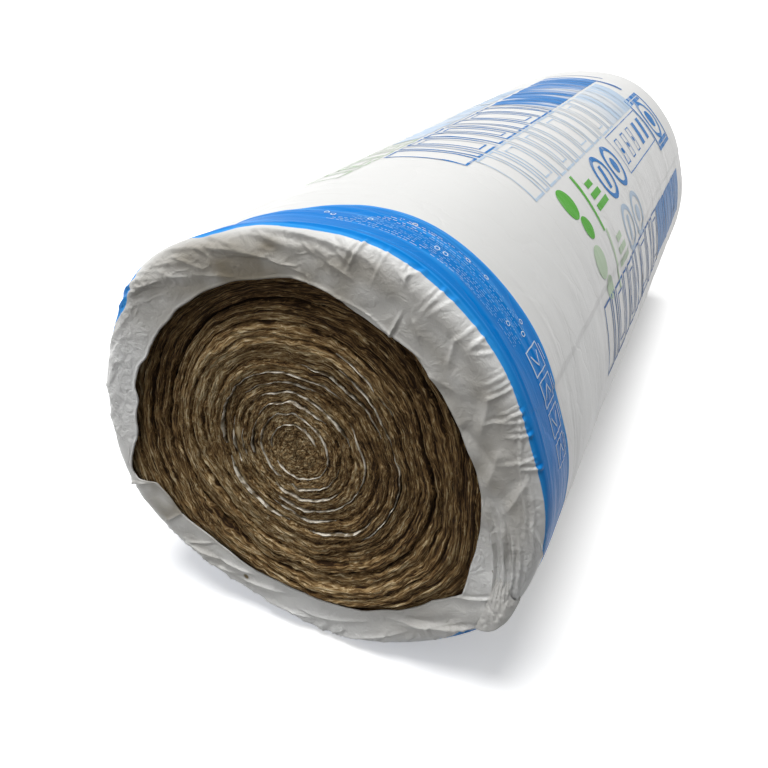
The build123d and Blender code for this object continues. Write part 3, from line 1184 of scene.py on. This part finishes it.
@dataclass
class WoolEnd:
    """One end of the wound wool, a dished face of layered turns with a short skirt behind it.

    A split between turns is given by its count of turns, its first and last angle in degrees, and
    its width and depth in millimetres. A grain has a name, its steps in each turn outward and its
    steps across the roll.
    """

    winding: Winding
    name: str
    direction: int
    columns: int = 316
    rows: int = 296
    leaves: float = 3.7
    splits: tuple = (
        (13, 78, 205, 2.6, 10.0), (15, 150, 222, 2.4, 9.0), (11, 62, 128, 1.8, 6.0),
        (14, 232, 262, 2.2, 7.0), (12, -85, -30, 1.8, 6.0), (10, 170, 240, 1.4, 5.0),
        (9, -60, 10, 1.4, 5.0), (16, -80, -40, 2.2, 7.0), (14, 20, 60, 1.8, 6.0), (12, -20, 40, 1.6, 5.0),
    )  # fmt: skip
    grains: tuple = (("grain", 7.0, 4.4), ("fibre", 12.5, 12.5), ("fleck", 4.0, 6.0))
    skirt: tuple = (20 * MM, 150 * MM)
    skirt_clear: float = 1 * MM

    def dish(self, angle: Array, share: Array) -> Array:
        """The face's slow form: hollow at the upper left, proud at the bottom.

        Args:
            angle: Angles round the roll.
            share: Mean radius as a share of the edge's.

        Returns:
            The depth in metres, as bells over the radius that grow towards one side.
        """
        high, low = facing(angle, 125), facing(angle, -80)
        hollow = (5 + 5 * high) + 10 * high**1.5 * bell(share - 0.69, 0.10)
        crest = 5 * high * bell(share - 0.50, 0.07) + 10 * low**2 * bell(share - 0.72, 0.14)
        return (hollow - crest) * MM

    def split(self, angle: Array, turn: Array) -> Array:
        """The depth in millimetres of the wide splits between turns, a bell across each gap.

        Args:
            angle: Angles round the roll.
            turn: Count of turns along the spiral.

        Returns:
            The bells added up, each faded in and out along its split.
        """
        degrees = np.degrees(angle)
        total = np.zeros(np.shape(angle))
        for number, first, last, width, depth in self.splits:
            along = between(degrees, first - 6, first + 14, last - 14, last + 6)
            total = total + depth * along * bell((turn - number) * self.winding.pitch, width * MM)
        return total

    def depth(self, angle: Array, mean: Array) -> Array:
        """How far the face lies behind the end of the roll, turns and layers included.

        Each turn is a rounded ridge with its own height, split from the next by a gap that is
        open in places. Thin layers within it stand at their own heights, and flakes lie on them.

        Args:
            angle: Angles round the roll.
            mean: Mean radius of each point's turn.

        Returns:
            The depth in metres.
        """
        winding = self.winding
        roll = winding.roll
        share = mean / winding.edge
        layer = winding.layer(angle, mean)
        turn = layer - angle / (2 * pi)
        run = np.floor(turn) + angle / (2 * pi)
        firm = smooth(0.06, 0.25, share)
        step = 2.6 * line_noise(run * 2.3, 51) * firm
        opened = 0.5 + 0.5 * line_noise(run * 4.1, 53)
        groove = (0.5 + 5.0 * opened**2) * bell(winding.gaps(turn), 1.2 * MM) * (0.25 + 0.75 * firm)
        ridge = (1 - (2 * (turn - np.floor(turn)) - 1) ** 4) * (0.6 + 1.3 * firm)
        leaves = layer * self.leaves + 0.6 * ring_noise(angle, 3, layer * 0.8, 54)
        leaf = np.floor(leaves)
        laid = 2.0 * ring_noise(angle, 2.6, leaf * 1.37, 55) * (0.3 + 0.7 * firm)
        worn = 0.5 + 0.5 * ring_noise(angle, 4, leaf * 2.1, 56)
        notch = 1.1 * bell(winding.gaps(leaves, self.leaves), 0.6 * MM) * worn
        flakes = 1.3 * ring_noise(angle, 9, layer * 6.5, 57)
        tufts = 1.5 * ring_noise(angle, 22, layer * 5.0, 58) * smooth(0.2, 0.7, share)
        relief = groove + self.split(angle, turn) + notch - ridge - step - laid - flakes - tufts
        face = self.dish(angle, share) + relief * MM
        radius = winding.spread(angle, mean) + winding.clear
        rim_inside = np.maximum(radius - (roll.outline(angle) - roll.rim), 0)
        rim = roll.rim - np.sqrt(np.maximum(roll.rim**2 - rim_inside**2, 0)) + 3.5 * MM
        round_opening = roll.outline(angle) - roll.rim - roll.far_flap
        opening = roll.opening(angle) if self.direction < 0 else round_opening
        covered = smooth(-6 * MM, 2 * MM, radius - opening)
        return np.maximum(face, rim * covered - 12 * MM * (1 - covered))

    def tone(self, angle: Array, mean: Array, layer: Array) -> Array:
        """How light the wool is: painted shade in its gaps, splits, hollow and right side, painted light
        on its crests, left side and low down, and its own tone varying at random.

        Args:
            angle: Angles round the roll.
            mean: Mean radius of each point's turn.
            layer: Count of layers from the core.

        Returns:
            The tone, from 0 for dark to 1 for light, as a level and bells and noise added to it.
        """
        winding = self.winding
        share = mean / winding.edge
        turn = layer - angle / (2 * pi)
        high, low = facing(angle, 125), facing(angle, -65) ** 3
        left, right = facing(angle, 145) ** 2, facing(angle, 22) ** 1.5
        # Painted shade: darker in the gaps between turns and in the splits.
        gap = 0.17 * bell(winding.gaps(turn), 1.4 * MM) * smooth(0.08, 0.3, share)
        tone = 0.49 - gap - 0.03 * self.split(angle, turn)
        # Painted shadow of the flap: a dark ring near the edge at the upper left, with painted light on the
        # crest inside it.
        tone = tone - 0.20 * bell(share - 0.72, 0.10) * high + 0.13 * bell(share - 0.51, 0.06) * high
        # Painted shade on the right and painted light on the left.
        tone = tone - 0.12 * right * smooth(0.12, 0.4, share) + 0.07 * left * bell(share - 0.45, 0.25)
        # Painted light on the outer turns low down and at the upper left.
        tone = tone + (0.10 * low + 0.06 * high**2) * smooth(0.55, 0.9, share)
        tone = tone + 0.10 * ring_noise(angle, 2, np.floor(layer * self.leaves), 61)
        return tone + 0.10 * ring_noise(angle, 5, layer * 1.3, 62)

    def build(self, material: Material) -> None:
        """Builds the face and its skirt as one grid and stores the grain and tone of its wool.

        Args:
            material: The wool's material.
        """
        winding = self.winding
        near = winding.roll.near
        angles = np.linspace(-pi / 2, 3 * pi / 2, self.columns, endpoint=False)
        angle, mean = np.meshgrid(angles, np.linspace(0.4 * MM, winding.edge, self.rows))
        face = winding.place(angle, mean, near + self.depth(angle, mean))
        edge = np.full(self.columns, winding.edge)
        inner = edge - winding.roll.waist(angles) * 1.15 - self.skirt_clear
        skirt = [winding.place(angles, inner, near + depth + 0 * edge) for depth in self.skirt]
        skirt.append(winding.place(angles, edge, 0 * edge))
        points = np.concatenate([face, np.stack(skirt)])
        points[..., 1] *= -self.direction
        quads = grid_faces(len(points), self.columns, closed=True)[:, :: self.direction]
        piece = add_mesh(self.name, points, quads, material)
        layer = winding.layer(angle, mean)
        # The tone holds painted shade in gaps and hollows and painted light on crests and low down.
        values = {"tone": self.tone(angle, mean, layer)}
        for label, turns, stretch in self.grains:
            values[label] = np.stack([np.cos(angle) * stretch, np.sin(angle) * stretch, layer * turns], -1)
        for label, grid in values.items():
            add_values(piece, label, np.concatenate([grid, np.repeat(grid[-1:], len(skirt), 0)]))
        finish_piece(piece, "wool_roll")


@dataclass
class FacingEdges:
    """The facing's cut edge where it stands between the inner turns at one end.

    Each stretch is given by the count of turns to its gap, its first and last angles in degrees,
    how far it stands out of the wool and how far it leans outward, both in millimetres.
    """

    wool: WoolEnd
    name: str
    stretches: tuple
    thickness: float = 0.26 * MM
    sunk: float = 6 * MM
    step: float = 2.2 * MM
    fade: float = 0.3

    def build(self, material: Material) -> None:
        """Builds each visible stretch as a thin ribbon along the gap between two turns.

        Args:
            material: The facing's material.
        """
        ribbons = [self.ribbon(number, *stretch) for number, stretch in enumerate(self.stretches)]
        points = np.concatenate([ribbon.reshape(-1, 3) for ribbon in ribbons])
        points[:, 1] *= -self.wool.direction
        quads = joined_faces([ribbon.shape[:2] for ribbon in ribbons], closed=True)
        piece = add_mesh(self.name, points, quads[:, :: -self.wool.direction], material)
        finish_piece(piece, "facing_sheet")

    def ribbon(self, number: int, turn: int, start: float, end: float, proud: float, lean: float) -> Array:
        """A flat loop of four points carried along one gap between turns.

        Args:
            number: Chooses the ribbon's own waves.
            turn: The gap's count of turns from the core.
            start: First angle in degrees.
            end: Last angle in degrees.
            proud: How far the edge stands out of the wool, in millimetres.
            lean: How far its top lies outside its foot, in millimetres.

        Returns:
            Points as stations by four corners: inner back, inner front, outer front, outer back.
        """
        winding = self.wool.winding
        start, end = radians(start), radians(end)
        angle = np.linspace(start, end, max(int((end - start) * turn * winding.pitch / self.step), 8))
        mean = (turn + angle / (2 * pi)) * winding.pitch
        for _ in range(6):
            mean = (turn + angle / (2 * pi) - winding.stray(angle, mean)) * winding.pitch
        sides = [self.wool.depth(angle, mean + side * MM) for side in (-5, -2.5, 2.5, 5)]
        face = np.convolve(np.pad(np.min(sides, axis=0), 5, mode="edge"), np.ones(11) / 11, "valid")
        fade = np.minimum(smooth(start, start + self.fade, angle), smooth(end, end - self.fade, angle))
        run = angle * turn * 0.9 + number * 7.3
        wave = 0.5 + 0.8 * line_noise(run, 71) + 0.4 * line_noise(run * 3.1, 72)
        front = face - (proud * wave - 4 * (1 - fade)) * MM
        back = face + self.sunk
        tilt = lean * wave * MM
        half = self.thickness / 2
        near = winding.roll.near
        corners = ((-half, back), (tilt - half, front), (tilt + half, front), (half, back))
        return np.stack([winding.place(angle, mean + side, near + depth) for side, depth in corners], 1)


# Print


class Ink(Enum):
    """The inks on the film, and the pale ghosts of the layer of film beneath."""

    BLUE = "#1079C4"
    NAVY = "#2B6AAE"
    GREEN = "#58B436"
    WHITE = "#D8ECFC"
    PALE = "#84C4F6"
    GHOST_BLUE = "#BFD3E8"
    GHOST_GREEN = "#C9DFC0"


@dataclass
class Print:
    """Plain marks printed on the sleeve, drawn on the film laid flat.

    A mark's place is the angle of its middle in degrees and its distance from the near end in
    metres. Its own x runs along the roll, away from the near end, and its y runs round it.
    """

    sleeve: Sleeve
    lift: float = 0.4 * MM
    step: float = 4 * MM
    parts: dict = field(default_factory=dict)

    def add(self, ink: Ink, degrees: float, along: float, x: Array, y: Array) -> None:
        """Keeps a grid of a mark's x and y for its ink, as places on the film laid flat.

        Args:
            ink: The mark's ink.
            degrees: Angle of the mark's middle.
            along: The mark's distance from the near end.
            x: Places along the roll.
            y: Places round it.
        """
        roll = self.sleeve.roll
        x, y = np.broadcast_arrays(x, y)
        self.parts.setdefault(ink, []).append((radians(degrees) + y / roll.radius, along - roll.rim + x))

    def stroke(self, ink: Ink, degrees: float, along: float, path: Array, width: float) -> None:
        """A line of even width along a path.

        Args:
            ink: The line's ink.
            degrees: Angle of the mark's middle.
            along: The mark's distance from the near end.
            path: The line's points, x and y in metres.
            width: The line's width.
        """
        gaps = np.hypot(*np.diff(path, axis=0).T)
        places = np.concatenate([[0.0], np.cumsum(gaps)])
        count = max(int(places[-1] / self.step), 2)
        even = np.unique(np.concatenate([np.linspace(0, places[-1], count + 1), places]))
        x = np.interp(even, places, path[:, 0])
        y = np.interp(even, places, path[:, 1])
        run = np.stack([np.gradient(x), np.gradient(y)])
        run = run / np.maximum(np.hypot(*run), 1e-9)
        sides = np.array([[-0.5], [0.5]]) * width
        self.add(ink, degrees, along, x - sides * run[1], y + sides * run[0])

    def block(self, ink: Ink, degrees: float, along: float, size: tuple, slant: float = 0.0) -> None:
        """A filled slanted block.

        Args:
            ink: The block's ink.
            degrees: Angle of its middle.
            along: Its middle's distance from the near end.
            size: Its length along the roll and its height round it.
            slant: How far its top is pushed along the roll.
        """
        down = np.linspace(-0.5, 0.5, max(int(size[1] / self.step), 1) + 1)[:, None]
        across = np.linspace(-0.5, 0.5, max(int(size[0] / self.step), 1) + 1)[None, :]
        self.add(ink, degrees, along, across * size[0] + slant * down, down * size[1])

    def frame(
        self,
        ink: Ink,
        degrees: float,
        along: float,
        size: tuple,
        width: float,
        slant: float = 0.0,
    ) -> None:
        """The outline of a slanted block, as four strokes that overlap at its corners.

        Args:
            ink: The outline's ink.
            degrees: Angle of its middle.
            along: Its middle's distance from the near end.
            size: Its length along the roll and its height round it.
            width: The strokes' width.
            slant: How far its top is pushed along the roll.
        """
        half = np.array(size) / 2
        corners = np.array([(-1, -1), (1, -1), (1, 1), (-1, 1), (-1, -1)]) * half
        corners = corners + np.stack([corners[:, 1] / size[1] * slant, 0 * corners[:, 1]], -1)
        for start, end in zip(corners[:-1], corners[1:]):
            run = (end - start) / np.hypot(*(end - start)) * width / 2
            self.stroke(ink, degrees, along, np.array([start - run, end + run]), width)

    def disc(self, ink: Ink, degrees: float, along: float, radius: float) -> None:
        """A filled round spot."""
        self.ring(ink, degrees, along, radius / 2 + 0.1 * MM, radius - 0.2 * MM)

    def ring(self, ink: Ink, degrees: float, along: float, radius: float, width: float) -> None:
        """A round outline.

        Args:
            ink: The outline's ink.
            degrees: Angle of its middle.
            along: Its middle's distance from the near end.
            radius: The line's mean radius.
            width: The line's width.
        """
        turn = np.linspace(0, 2 * pi, 49)
        band = np.linspace(radius - width / 2, radius + width / 2, 4)[:, None]
        self.add(ink, degrees, along, band * np.cos(turn), band * np.sin(turn))

    def build(self, name: str) -> None:
        """Makes one piece for each ink from the marks that were drawn in it.

        Args:
            name: The first word of the pieces' names.
        """
        for ink, marks in self.parts.items():
            quads = joined_faces([angle.shape for angle, _ in marks], closed=False)
            angles = np.concatenate([angle.ravel() for angle, _ in marks])
            along = np.concatenate([place.ravel() for _, place in marks])
            points = self.sleeve.surface(angles, along, np.full(len(angles), self.lift))
            label = ink.name.lower()
            material = self.sleeve.film.print_ink(f"film_print_{label}", ink.value)
            piece = add_mesh(f"{name}_{label}", points, quads, material)
            finish_piece(piece, "film_sleeve")


@dataclass
class SidePrint:
    """The marks along the side: rows of slanted blocks, plain signs and their pale ghosts."""

    press: Print
    widths: tuple = (34, 16, 48, 24, 40, 18, 30, 56)
    wide: float = 38 * MM
    space: float = 9 * MM
    slant: float = 14 * MM

    def blocks(
        self,
        outline: Ink,
        fill: Ink,
        degrees: float,
        height: float,
        reach: tuple,
        filled: float,
    ) -> None:
        """A row of slanted blocks of mixed widths, outlined to begin with and filled further on.

        Args:
            outline: Ink of the outlined blocks.
            fill: Ink of the filled blocks.
            degrees: Angle of the row's middle.
            height: The blocks' height round the roll.
            reach: The row's first and last distance from the near end.
            filled: The distance past which blocks are filled.
        """
        start = reach[0]
        number = 0
        while start < reach[1]:
            width = self.widths[number % len(self.widths)] * MM
            middle = start + width / 2
            if middle < filled:
                self.press.frame(outline, degrees, middle, (width, height), 3.2 * MM, self.slant)
                if width > self.wide:
                    inner = (width - 20 * MM, height - 22 * MM)
                    self.press.frame(outline, degrees, middle, inner, 2.4 * MM, self.slant * 0.8)
            else:
                self.press.block(fill, degrees, middle, (width + 3 * MM, height), self.slant)
            start += width + (self.space if middle < filled else 0.6 * self.space)
            number += 1

    def signs(self, ink: Ink, green: Ink, degrees: float) -> None:
        """The row of small signs, in full ink or as a ghost.

        Args:
            ink: Ink of the rings and what they hold.
            green: Ink of the other signs.
            degrees: Angle of the row's middle.
        """
        press = self.press
        press.disc(green, degrees + 3.2, 0.362, 21 * MM)
        press.disc(green, degrees - 5.4, 0.374, 15 * MM)
        press.block(green, degrees - 1.0, 0.43, (9 * MM, 78 * MM), 10 * MM)
        for row in range(3):
            size = (62 * MM - row * 16 * MM, 9 * MM)
            press.block(green, degrees - 4.5 + row * 3.6, 0.482 - row * 3 * MM, size)
        for along in (0.56, 0.638):
            press.ring(ink, degrees, along, 30 * MM, 8 * MM)
        press.block(ink, degrees, 0.56, (13 * MM, 34 * MM), 8 * MM)
        press.disc(ink, degrees, 0.638, 13 * MM)

    def build(self) -> None:
        """Draws every mark of the side."""
        press = self.press
        self.blocks(Ink.BLUE, Ink.BLUE, 88.5, 106 * MM, (0.29, 1.04), 0.72)
        self.blocks(Ink.GHOST_BLUE, Ink.GHOST_BLUE, 65.5, 80 * MM, (0.30, 0.97), 0.80)
        self.blocks(Ink.NAVY, Ink.BLUE, 10.5, 80 * MM, (0.32, 1.04), 0.78)
        self.blocks(Ink.GHOST_GREEN, Ink.GHOST_BLUE, 109.0, 50 * MM, (0.2, 0.95), 0.42)
        self.signs(Ink.BLUE, Ink.GREEN, 46.0)
        self.signs(Ink.GHOST_BLUE, Ink.GHOST_GREEN, 27.5)
        press.frame(Ink.BLUE, 47, 0.83, (270 * MM, 66 * MM), 1.6 * MM)
        for number in range(5):
            along = 0.725 + number * 0.052
            if number < 3:
                press.frame(Ink.BLUE, 47, along, (20 * MM, 40 * MM), 2 * MM, 10 * MM)
                press.disc(Ink.BLUE, 47, along, 5 * MM)
            else:
                press.block(Ink.BLUE, 47, along, (22 * MM, 40 * MM), 10 * MM)
        press.frame(Ink.BLUE, 47, 1.03, (112 * MM, 104 * MM), 7 * MM)
        press.ring(Ink.BLUE, 47, 1.03, 36 * MM, 9 * MM)
        for row in (-1, 1):
            press.block(Ink.BLUE, 47 + row * 10.2, 1.03, (94 * MM, 7 * MM))
        press.disc(Ink.BLUE, 47, 1.03, 17 * MM)
        press.block(Ink.NAVY, 71.5, 1.045, (12 * MM, 58 * MM))
        press.block(Ink.NAVY, 88.5, 1.085, (5 * MM, 112 * MM))


@dataclass
class BandPrint:
    """The small white marks on the blue band: rows of dashes, rings and four plain signs."""

    press: Print

    def build(self) -> None:
        """Draws every mark of the band."""
        press = self.press
        rng = np.random.default_rng(81)
        for row in range(12):
            along = (39 + row * 3.2) * MM
            degrees = 86.0 - 1.1 * row
            while degrees > 38:
                length = rng.uniform(1.2, 4.5) * MM
                if rng.uniform() < 0.75:
                    press.block(Ink.PALE, degrees, along, (0.8 * MM, length))
                degrees -= (length + 1.4 * MM) / press.sleeve.roll.radius * 180 / pi
        for degrees in (38.5, 40.5, 42.5, 52, 57, 61, 63, 70, 78, 86, 88):
            along = rng.uniform(44, 58) if degrees > 75 else rng.uniform(52, 79)
            press.ring(Ink.WHITE, degrees, along * MM, 2.2 * MM, 1.0 * MM)
        for number in range(4):
            degrees = 32.5 - number * 7.2
            press.frame(Ink.WHITE, degrees, 66 * MM, (27 * MM, 24 * MM), 1.3 * MM)
            arrow = np.array([(-8, -6), (0, 6), (8, -6)]) * MM
            press.stroke(Ink.WHITE, degrees, 66 * MM, arrow if number % 2 else arrow * (1, -1), 1.6 * MM)
            press.stroke(Ink.WHITE, degrees, 84 * MM, np.array([(0, -8), (0, 8)]) * MM, 1.0 * MM)


# Studio


@dataclass
class Studio:
    """The pale floor, the soft light and the camera at the photograph's place."""

    roll: Roll
    focal: float = 763.7
    pixels: float = 768.0
    heading: float = -23.74
    pitch: float = -29.23
    tilt: float = 1.18
    seat: tuple = (1.333, -2.186, 1.793)
    fill: float = 0.29
    overhead: float = 2.5
    overhead_from: tuple = (-0.07, -0.14, 1.0)
    front: float = 0.65
    front_from: tuple = (-0.7, -1.0, 0.35)
    floor_half: float = 60.0
    floor_lift: float = 0.38
    floor_bounce: str = "#606060"

    def camera(self) -> None:
        """Sets the camera by its heading, pitch and tilt, its seat in radii from the near end."""
        heading, pitch, tilt = (radians(value) for value in (self.heading, self.pitch, self.tilt))
        forward = Vector((sin(heading) * cos(pitch), cos(heading) * cos(pitch), sin(pitch)))
        level = Vector((cos(heading), -sin(heading), 0.0))
        upright = level.cross(forward)
        right = cos(tilt) * level + sin(tilt) * upright
        up = -sin(tilt) * level + cos(tilt) * upright
        data = bpy.data.cameras.new("camera")
        data.sensor_width = 36.0
        data.lens = data.sensor_width * self.focal / self.pixels
        camera = bpy.data.objects.new("camera", data)
        bpy.context.scene.collection.objects.link(camera)
        end = Vector((self.roll.axis_right, self.roll.near, self.roll.axis_height))
        turn = Matrix((right, up, -forward)).transposed().to_4x4()
        camera.matrix_world = Matrix.Translation(end + Vector(self.seat) * self.roll.radius) @ turn
        bpy.context.scene.camera = camera

    def backdrop_ray(self, tree: Tree) -> Socket:
        """One where the backdrop is seen straight on, in gloss or through glass, else zero.

        Args:
            tree: The node tree it is added to.

        Returns:
            The last node's output.
        """
        rays = add_node(tree, "ShaderNodeLightPath").outputs
        seen = rays["Is Camera Ray"]
        for label in ("Is Glossy Ray", "Is Transmission Ray"):
            seen = add_node(tree, "ShaderNodeMath", {0: seen, 1: rays[label]}, operation="MAXIMUM").outputs[0]
        return seen

    def floor(self) -> None:
        """A wide white floor that keeps the roll's shadow and sends little light back up."""
        material, tree = new_material("white_floor")
        seen = self.backdrop_ray(tree)
        colours = {"Factor": seen, 6: linear(self.floor_bounce), 7: (1.0, 1.0, 1.0, 1.0)}
        colour = add_node(tree, "ShaderNodeMix", colours, data_type="RGBA")
        matt = add_node(tree, "ShaderNodeBsdfDiffuse", {"Color": colour.outputs[2]})
        lift = add_node(tree, "ShaderNodeMath", {0: seen, 1: self.floor_lift}, operation="MULTIPLY")
        glow = add_node(tree, "ShaderNodeEmission", {"Strength": lift})
        both = add_node(tree, "ShaderNodeAddShader", {0: matt, 1: glow})
        add_node(tree, "ShaderNodeOutputMaterial", {"Surface": both})
        corners = np.array([(-1, -1, 0), (1, -1, 0), (1, 1, 0), (-1, 1, 0)]) * self.floor_half
        floor = add_mesh("floor", corners, np.array([[0, 1, 2, 3]]), material)
        floor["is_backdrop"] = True

    def world(self) -> None:
        """White behind the roll, and a soft even light for the rest."""
        world = bpy.data.worlds.new("world")
        bpy.context.scene.world = world
        world.use_nodes = True
        tree = world.node_tree
        tree.nodes.clear()
        sight = add_node(tree, "ShaderNodeTexCoord").outputs["Generated"]
        direction = add_node(tree, "ShaderNodeSeparateXYZ", {0: sight})
        left, right = 1.55 * self.fill, 0.3 * self.fill
        sideways = {"Value": direction, "From Min": -1.0, "To Min": left, "To Max": right}
        even = add_node(tree, "ShaderNodeMapRange", sideways)
        reach = {"Value": self.backdrop_ray(tree), "To Min": even, "To Max": 1.0}
        strength = add_node(tree, "ShaderNodeMapRange", reach)
        light = add_node(tree, "ShaderNodeBackground", {"Color": (1, 1, 1, 1), "Strength": strength})
        add_node(tree, "ShaderNodeOutputWorld", {"Surface": light})

    def lamp(self, name: str, strength: float, source: tuple, degrees: float) -> None:
        """A broad soft lamp from one direction.

        Args:
            name: The lamp's name.
            strength: Its strength as a sun lamp.
            source: The direction it shines from.
            degrees: How wide it looks from the roll.
        """
        data = bpy.data.lights.new(name, "SUN")
        data.angle = radians(degrees)
        data.energy = strength
        lamp = bpy.data.objects.new(name, data)
        lamp.rotation_euler = Vector(source).to_track_quat("Z", "Y").to_euler()
        bpy.context.scene.collection.objects.link(lamp)

    def build(self) -> None:
        """Sets up everything around the roll."""
        self.camera()
        self.floor()
        self.world()
        self.lamp("ceiling", self.overhead, self.overhead_from, 28)
        self.lamp("front", self.front, self.front_from, 60)
        bpy.context.scene.view_settings.view_transform = "Standard"


def main() -> None:
    """Builds the roll's pieces, then the studio around them."""
    roll = Roll()
    sleeve = Sleeve(roll, PrintedFilm())
    sleeve.build()
    Knot(sleeve).build()
    winding = Winding(roll)
    wool = GlassWool().material()
    facing = FacingFilm().material()
    near = WoolEnd(winding, "wool_near_end", -1)
    near.build(wool)
    far = WoolEnd(winding, "wool_far_end", 1, columns=200, rows=200)
    far.build(wool)
    near_stretches = (
        (2, 20, 200, 1.2, 0.3), (3, -60, 250, 1.5, 0.5), (4, 50, 150, 2.4, 0.8), (4, 150, 205, 4.0, -2.5),
        (4, 240, 330, 1.2, 0.2), (5, 20, 140, 1.7, 0.4), (5, 165, 205, 5.0, -3.5), (5, 240, 350, 1.6, 0.5),
        (6, 68, 140, 1.6, 0.3), (6, -40, 40, 1.3, 0.2), (7, 50, 190, 1.7, 0.4), (7, 275, 330, 1.1, 0.2),
        (8, 25, 88, 2.0, 2.0), (8, 310, 350, 1.0, 0.3), (3, 260, 350, 1.4, 0.3), (6, 165, 205, 4.0, -2.5),
        (9, 20, 66, 1.4, 0.4), (2, 220, 330, 1.0, 0.2), (6, 245, 300, 1.3, 0.4), (9, -50, 20, 1.2, 0.2),
        (7, 200, 262, 0.9, 0.2), (10, 35, 70, 1.1, 0.3),
    )  # fmt: skip
    FacingEdges(near, "facing_near_end", near_stretches).build(facing)
    FacingEdges(far, "facing_far_end", near_stretches[:8]).build(facing)
    press = Print(sleeve)
    SidePrint(press).build()
    BandPrint(press).build()
    press.build("print")
    Studio(roll).build()


if __name__ == "__main__":
    main()
